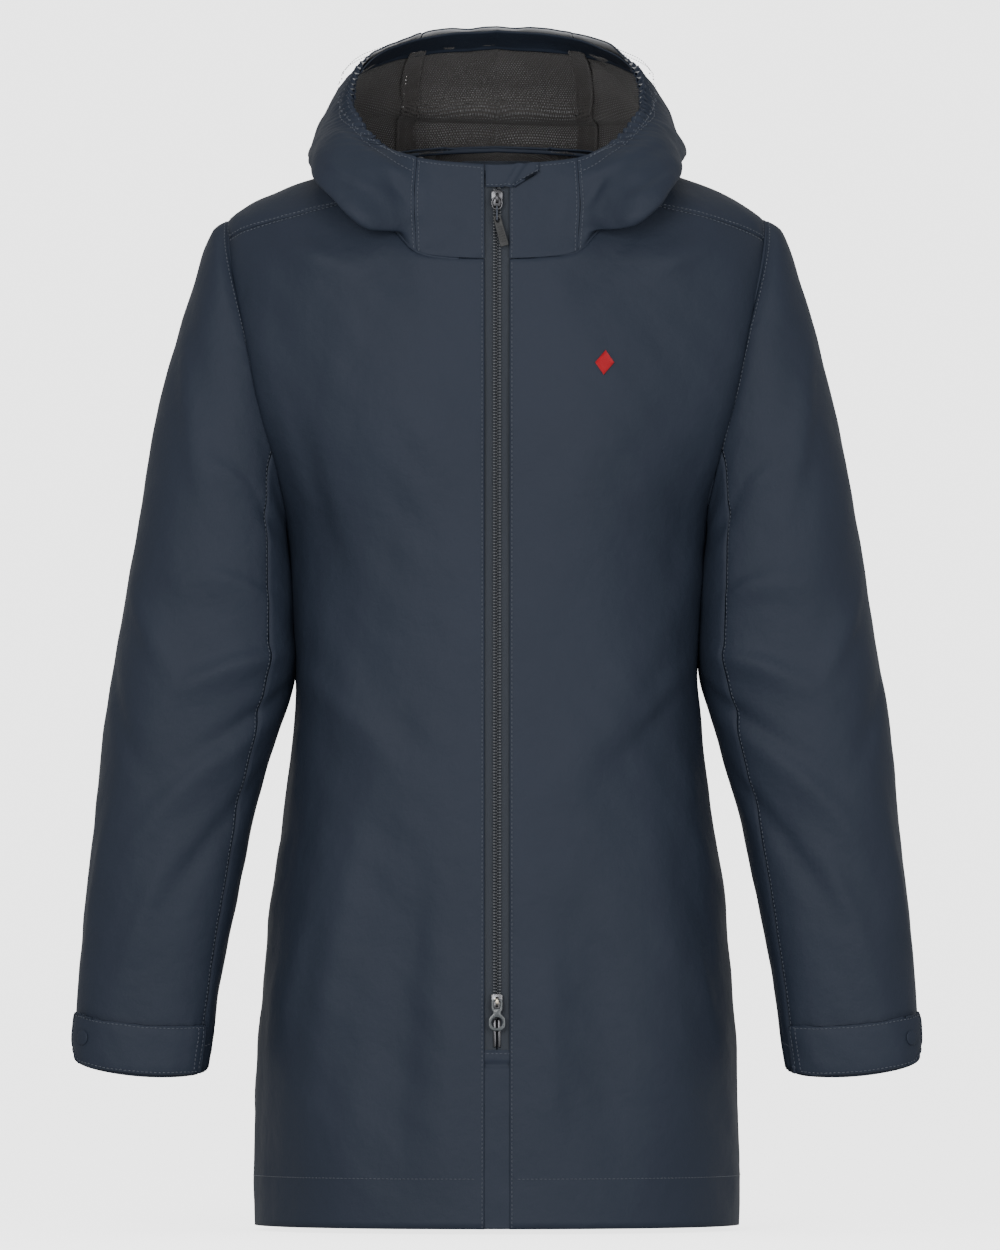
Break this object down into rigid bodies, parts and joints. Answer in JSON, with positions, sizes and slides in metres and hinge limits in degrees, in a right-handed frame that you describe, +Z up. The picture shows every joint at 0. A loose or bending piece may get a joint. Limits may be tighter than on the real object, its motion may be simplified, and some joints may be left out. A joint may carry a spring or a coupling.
{
  "type": "foul weather jacket",
  "caption": "A long hooded waterproof sailing jacket with the two-way front zip closed, the hood down, full sleeves with stud-closed cuff tabs and a mesh lining.",
  "frame": {"origin": "the lower edge of the hanger loop, at its middle, inside the back of the neck, where a coat hook bears", "axes": "+X to the wearer's left, -Y to the front, +Z up along the jacket's length"},
  "size_m": [0.6814, 0.3071, 0.963],
  "materials": {
    "shell_cloth": "woven",
    "lining_mesh": "mesh",
    "tape_weave": "woven",
    "elastic": "gathered",
    "zip_plastic": "satin",
    "dark_metal": "satin",
    "pull_metal": "worn",
    "rubber": "matt",
    "red_thread": "satin"
  },
  "bodies": {
    "shell": {"front_left": "shell_cloth", "front_right": "shell_cloth", "back": "shell_cloth", "shoulder_left": "shell_cloth", "shoulder_right": "shell_cloth", "hem_facing": "shell_cloth", "lining_front_left": "lining_mesh", "lining_front_right": "lining_mesh", "lining_back": "lining_mesh", "collar_left": "shell_cloth", "collar_right": "shell_cloth", "collar_lining_left": "shell_cloth", "collar_lining_right": "shell_cloth", "zip_tape_left": "tape_weave", "zip_tape_right": "tape_weave", "zip_teeth_left": "zip_plastic", "zip_teeth_right": "zip_plastic", "zip_top_stop_left": "dark_metal", "zip_top_stop_right": "dark_metal", "zip_pin_left": "dark_metal", "zip_pin_right": "dark_metal", "storm_flap": "shell_cloth", "zip_garage": "shell_cloth", "emblem": "red_thread", "neck_tape": "tape_weave", "hang_loop": "tape_weave"},
    "hood": {"hood_side_left": "shell_cloth", "hood_side_right": "shell_cloth", "hood_crown": "shell_cloth", "hood_lining_left": "lining_mesh", "hood_lining_right": "lining_mesh", "hood_crown_lining": "lining_mesh", "hood_brim_facing": "shell_cloth", "hood_elastic_left": "elastic", "hood_elastic_right": "elastic"},
    "top_slider": {"top_slider": "dark_metal"},
    "top_pull": {"top_pull_ring": "dark_metal", "top_pull_cord": "rubber", "top_pull_tab": "rubber"},
    "bottom_slider": {"bottom_slider": "dark_metal"},
    "bottom_pull": {"bottom_pull": "pull_metal"},
    "sleeve_left": {"sleeve_upper_left": "shell_cloth", "sleeve_under_left": "shell_cloth", "lining_sleeve_left": "lining_mesh", "cuff_elastic_left": "elastic", "cuff_stud_left": "dark_metal", "cuff_stud_spare_left": "dark_metal"},
    "cuff_tab_left": {"cuff_tab_left": "shell_cloth", "tab_socket_left": "pull_metal", "tab_cap_left": "shell_cloth"},
    "sleeve_right": {"sleeve_upper_right": "shell_cloth", "sleeve_under_right": "shell_cloth", "lining_sleeve_right": "lining_mesh", "cuff_elastic_right": "elastic", "cuff_stud_right": "dark_metal", "cuff_stud_spare_right": "dark_metal"},
    "cuff_tab_right": {"cuff_tab_right": "shell_cloth", "tab_socket_right": "pull_metal", "tab_cap_right": "shell_cloth"}
  },
  "joints": [
    {"name": "hood_raise", "type": "hinge", "parent": "shell", "child": "hood", "pos_m": [0, -0.1465, -0.051], "axis": [1, 0, 0], "range_deg": [0, 15]},
    {"name": "top_slider_slide", "type": "slide", "parent": "shell", "child": "top_slider", "axis": [0, -0.0633, -0.998], "range_m": [0, 0.38]},
    {"name": "top_pull_swing", "type": "hinge", "parent": "top_slider", "child": "top_pull", "pos_m": [0, -0.14639, -0.02326], "axis": [-1, 0, 0], "range_deg": [0, 140]},
    {"name": "bottom_slider_slide", "type": "slide", "parent": "shell", "child": "bottom_slider", "axis": [0, 0.0633, 0.998], "range_m": [0, 0.19]},
    {"name": "bottom_pull_swing", "type": "hinge", "parent": "bottom_slider", "child": "bottom_pull", "pos_m": [0, -0.18697, -0.66331], "axis": [-1, 0, 0], "range_deg": [0, 140]},
    {"name": "sleeve_lift_left", "type": "hinge", "parent": "shell", "child": "sleeve_left", "pos_m": [0.214, -0.0465, -0.04], "axis": [0, -1, 0], "range_deg": [0, 25]},
    {"name": "cuff_tab_open_left", "type": "hinge", "parent": "sleeve_left", "child": "cuff_tab_left", "pos_m": [0.23702, -0.10081, -0.7036], "axis": [0.1346, -0.0365, -0.9902], "range_deg": [0, 78]},
    {"name": "sleeve_lift_right", "type": "hinge", "parent": "shell", "child": "sleeve_right", "pos_m": [-0.214, -0.0465, -0.04], "axis": [0, 1, 0], "range_deg": [0, 25]},
    {"name": "cuff_tab_open_right", "type": "hinge", "parent": "sleeve_right", "child": "cuff_tab_right", "pos_m": [-0.23702, -0.10081, -0.7036], "axis": [0.1346, 0.0365, 0.9902], "range_deg": [0, 78]}
  ]
}
